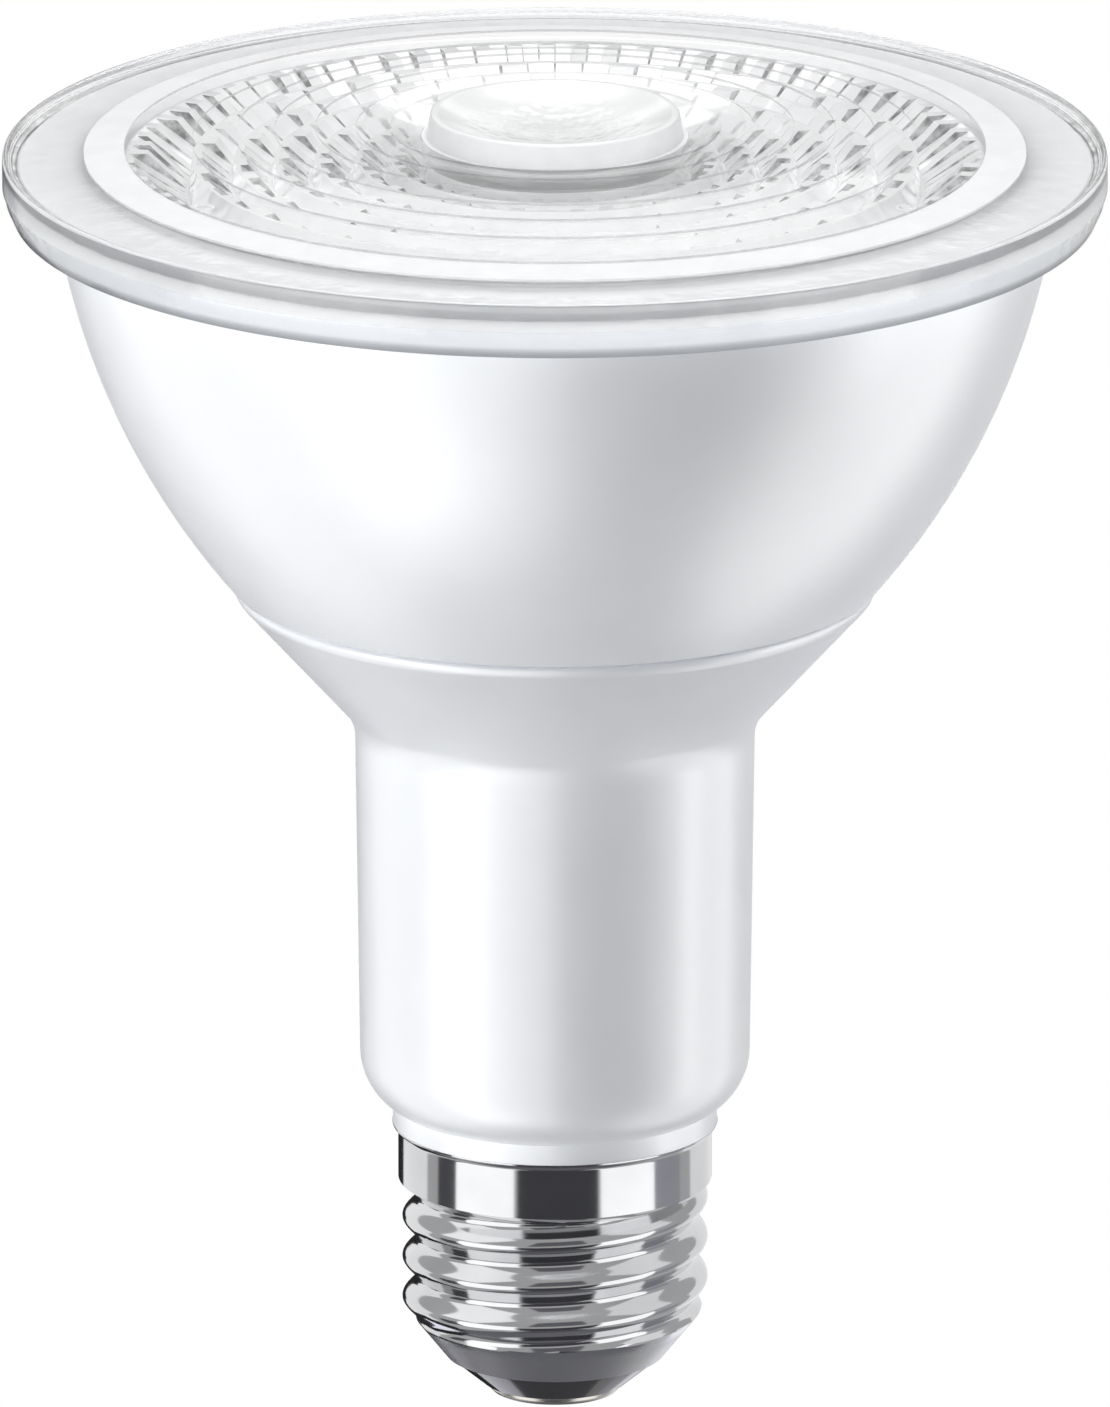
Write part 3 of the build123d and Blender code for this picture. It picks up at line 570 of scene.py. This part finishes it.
# Floor: a plain white studio floor below the lamp, which is held up by its base as in use.
# It shows white to the camera, and keeps part of its own light so that the lamp's shadow stays.
def in_sight(sheet):
    """1 for what the camera sees straight or through the lens, and less for what a glossy face shows."""
    seen = sheet.node("ShaderNodeLightPath", {}, {}, "Is Camera Ray")
    seen = seen + sheet.node("ShaderNodeLightPath", {}, {}, "Is Transmission Ray")
    seen = seen + 0.4 * sheet.node("ShaderNodeLightPath", {}, {}, "Is Glossy Ray")
    return sheet.math("MINIMUM", seen, 1.0)


floor_mesh = bmesh.new()
sunk = Matrix.Translation((0, 0, -1.5))
bmesh.ops.create_circle(floor_mesh, segments=64, radius=6.0, cap_ends=True, matrix=sunk)
floor_data = bpy.data.meshes.new("white_floor")
floor_mesh.to_mesh(floor_data)
floor_mesh.free()
floor = bpy.data.objects.new("white_floor", floor_data)
bpy.context.scene.collection.objects.link(floor)
floor_paint = bpy.data.materials.new("floor_white")
floor_paint.use_nodes = True
floor_tree = floor_paint.node_tree
floor_tree.nodes.clear()
sheet = Wire(floor_tree)
seen = 0.9 * in_sight(sheet)
matt = sheet.node("ShaderNodeBsdfDiffuse", {}, {"Color": (0.82, 0.82, 0.82, 1)})
glow = sheet.node("ShaderNodeEmission", {}, {"Color": (1, 1, 1, 1), "Strength": 1.1})
both = sheet.node("ShaderNodeMixShader", {}, {0: seen, 1: matt, 2: glow})
floor_out = floor_tree.nodes.new("ShaderNodeOutputMaterial")
both.into(floor_out, "Surface")
floor_data.materials.append(floor_paint)


# Studio: a white surround, and soft boxes that mostly light one group of pieces each.
# The tall panels show only as sheen on the white housings, and the cards only in reflections,
# where the dark ones give the plated shell its bands.
world = bpy.data.worlds.new("white_studio")
bpy.context.scene.world = world
world.use_nodes = True
world_tree = world.node_tree
world_tree.nodes.clear()
sheet = Wire(world_tree)
around = sheet.node("ShaderNodeBackground", {}, {"Color": (1, 1, 1, 1), "Strength": 0.12})
behind = sheet.node("ShaderNodeBackground", {}, {"Color": (1, 1, 1, 1), "Strength": 1.0})
surround = sheet.node("ShaderNodeMixShader", {}, {0: in_sight(sheet), 1: around, 2: behind})
world_out = world_tree.nodes.new("ShaderNodeOutputWorld")
surround.into(world_out, "Surface")


def aim(made, turn, distance, height, target):
    """Puts a box or card turn degrees to the right of the camera, in metres, and faces it inwards."""
    angle = math.radians(turn)
    spot = Vector((distance * math.sin(angle), -distance * math.cos(angle), height))
    look = Vector((0, 0, target)) - spot
    made.matrix_world = Matrix.Translation(spot) @ look.to_track_quat("-Z", "Y").to_matrix().to_4x4()


def group(name, *members):
    """Pieces that some of the boxes light alone, as a photographer flags a lamp off the rest."""
    made = bpy.data.collections.new(name)
    for member in members:
        made.objects.link(member)
    return made


housings = group("housings", white_neck, white_bowl)
neck_alone = group("neck_alone", white_neck)
bowl_alone = group("bowl_alone", white_bowl)
optics = group("optics", clear_lens)
metals = group("metals", threaded_shell, contact_disc, insulator_cone)
lamp_middle = 0.06
for name, receivers, turn, distance, height, width, tall, power in (
    ("left_box", housings, -60, 0.9, 0.0, 0.5, 1.1, 7.0),
    ("right_box", housings, 88, 0.9, 0.0, 0.25, 1.1, 5.0),
    ("lens_front_box", optics, 0, 0.9, -0.1, 1.2, 0.6, 2.4),
    ("lens_left_box", optics, -60, 0.9, 0.1, 0.9, 0.6, 3.4),
    ("lens_right_box", optics, 70, 0.9, 0.1, 0.9, 0.6, 3.0),
    ("top_box", None, 180, 0.25, 1.0, 0.9, 0.7, 7.0),
    ("lens_box", optics, 0, 0.9, 0.9, 0.7, 0.7, 7.6),
    ("back_box", optics, 180, 1.5, 0.84, 1.2, 0.36, 1.6),
    ("low_bowl_box", bowl_alone, -44, 0.6, -0.7, 0.5, 0.5, 3.5),
    ("low_neck_box", neck_alone, -50, 0.6, -0.7, 0.5, 0.5, 2.0),
    ("back_fill_box", housings, 180, 0.9, 0.0, 0.9, 1.1, 4.0),
    ("neck_fill_box", neck_alone, 32, 0.9, 0.0, 0.9, 0.9, 0.8),
    ("left_panel", housings, -95, 0.6, -0.55, 0.8, 1.8, 7.0),
    ("front_panel", housings, -31, 0.6, -0.55, 0.8, 1.8, 19.0),
    ("right_bowl_panel", bowl_alone, 94, 0.6, -0.55, 0.7, 1.8, 15.5),
    ("right_neck_panel", neck_alone, 92, 0.6, -0.55, 0.8, 1.8, 12.0),
    ("shell_left_box", metals, -54, 0.9, -0.2, 0.8, 1.0, 2.5),
    ("shell_right_box", metals, 56, 0.9, -0.2, 0.74, 1.0, 2.3),
    ("shell_far_left_box", metals, -135, 0.9, -0.2, 0.9, 1.0, 1.5),
    ("shell_far_right_box", metals, 145, 0.9, -0.2, 0.9, 1.0, 1.3),
    ("shell_high_left_box", metals, -85, 0.9, 0.9, 0.8, 0.9, 1.6),
    ("shell_high_right_box", metals, 85, 0.9, 0.9, 0.7, 0.9, 0.9),
):
    box = bpy.data.lights.new(name, "AREA")
    box.shape = "RECTANGLE"
    box.size = width
    box.size_y = tall
    box.energy = power
    lit = bpy.data.objects.new(name, box)
    bpy.context.scene.collection.objects.link(lit)
    aim(lit, turn, distance, height, min(height, lamp_middle))
    if receivers:
        lit.light_linking.receiver_collection = receivers
    if name == "back_fill_box":
        lit.visible_glossy = False
    if "panel" in name:
        lit.visible_diffuse = False
        lit.visible_transmission = False
straight_up = 90.0
for name, shade, turn, distance, height, width, tall in (
    ("front_card", 0.06, 2, 0.7, -0.3, 0.8, 0.6),
    ("left_card", 0.08, -87, 0.9, -0.3, 0.28, 0.6),
    ("right_card", 0.35, 92, 0.9, -0.3, 0.42, 0.6),
    ("edge_card", 0.02, -165, 0.85, -0.3, 0.48, 0.6),
    ("high_front_card", 0.14, 0, 0.6, 0.6, 0.5, 0.7),
    ("edge_low_card", 0.02, -138, 0.85, -0.8, 0.45, 0.7),
    ("floor_front_card", 0.10, 0, 1.2, -1.45, 1.2, 1.4),
    ("floor_middle_card", 0.16, 180, 0.25, -1.45, 1.5, 1.5),
    ("floor_left_card", 1.0, -163, 2.1, -1.44, 0.9, 2.0),
    ("floor_right_card", 0.6, 165, 2.4, -1.44, 0.9, 2.0),
):
    card_mesh = bmesh.new()
    card_size = Matrix.Diagonal((width, tall, 1, 1))
    bmesh.ops.create_grid(card_mesh, x_segments=1, y_segments=1, size=0.5, matrix=card_size)
    card_data = bpy.data.meshes.new(name)
    card_mesh.to_mesh(card_data)
    card_mesh.free()
    card_paint = bpy.data.materials.new(name)
    card_paint.use_nodes = True
    card_paint.node_tree.nodes.clear()
    sheet = Wire(card_paint.node_tree)
    card_out = card_paint.node_tree.nodes.new("ShaderNodeOutputMaterial")
    tone = {"Color": (shade, shade, 1.1 * shade, 1), "Strength": 1.0}
    sheet.node("ShaderNodeEmission", {}, tone).into(card_out, "Surface")
    card_data.materials.append(card_paint)
    card = bpy.data.objects.new(name, card_data)
    bpy.context.scene.collection.objects.link(card)
    aim(card, turn, distance, height, straight_up if "floor" in name else height)
    card.visible_camera = False
    card.visible_diffuse = False
    card.visible_shadow = False
    card.visible_transmission = False


# Camera: at the photograph's viewing angle above the rim, as the rim's ellipse asks.
# It stands well back with a long lens, so that the lamp's sides hardly converge.
tilt = math.radians(16.35)
reach = 4.0
sight = Vector((0, 0, 61.6 * mm))
picture_height = 1407 / (11.6 / mm)
sensor = 36
camera = bpy.data.cameras.new("camera")
camera.lens = sensor * reach / picture_height
camera.sensor_width = sensor
camera.sensor_fit = "AUTO"
camera.clip_end = 50
viewer = bpy.data.objects.new("camera", camera)
bpy.context.scene.collection.objects.link(viewer)
viewer.location = sight + reach * Vector((0, -math.cos(tilt), math.sin(tilt)))
viewer.rotation_euler = (math.pi / 2 - tilt, 0, 0)
bpy.context.scene.camera = viewer
bpy.context.scene.view_settings.view_transform = "Standard"
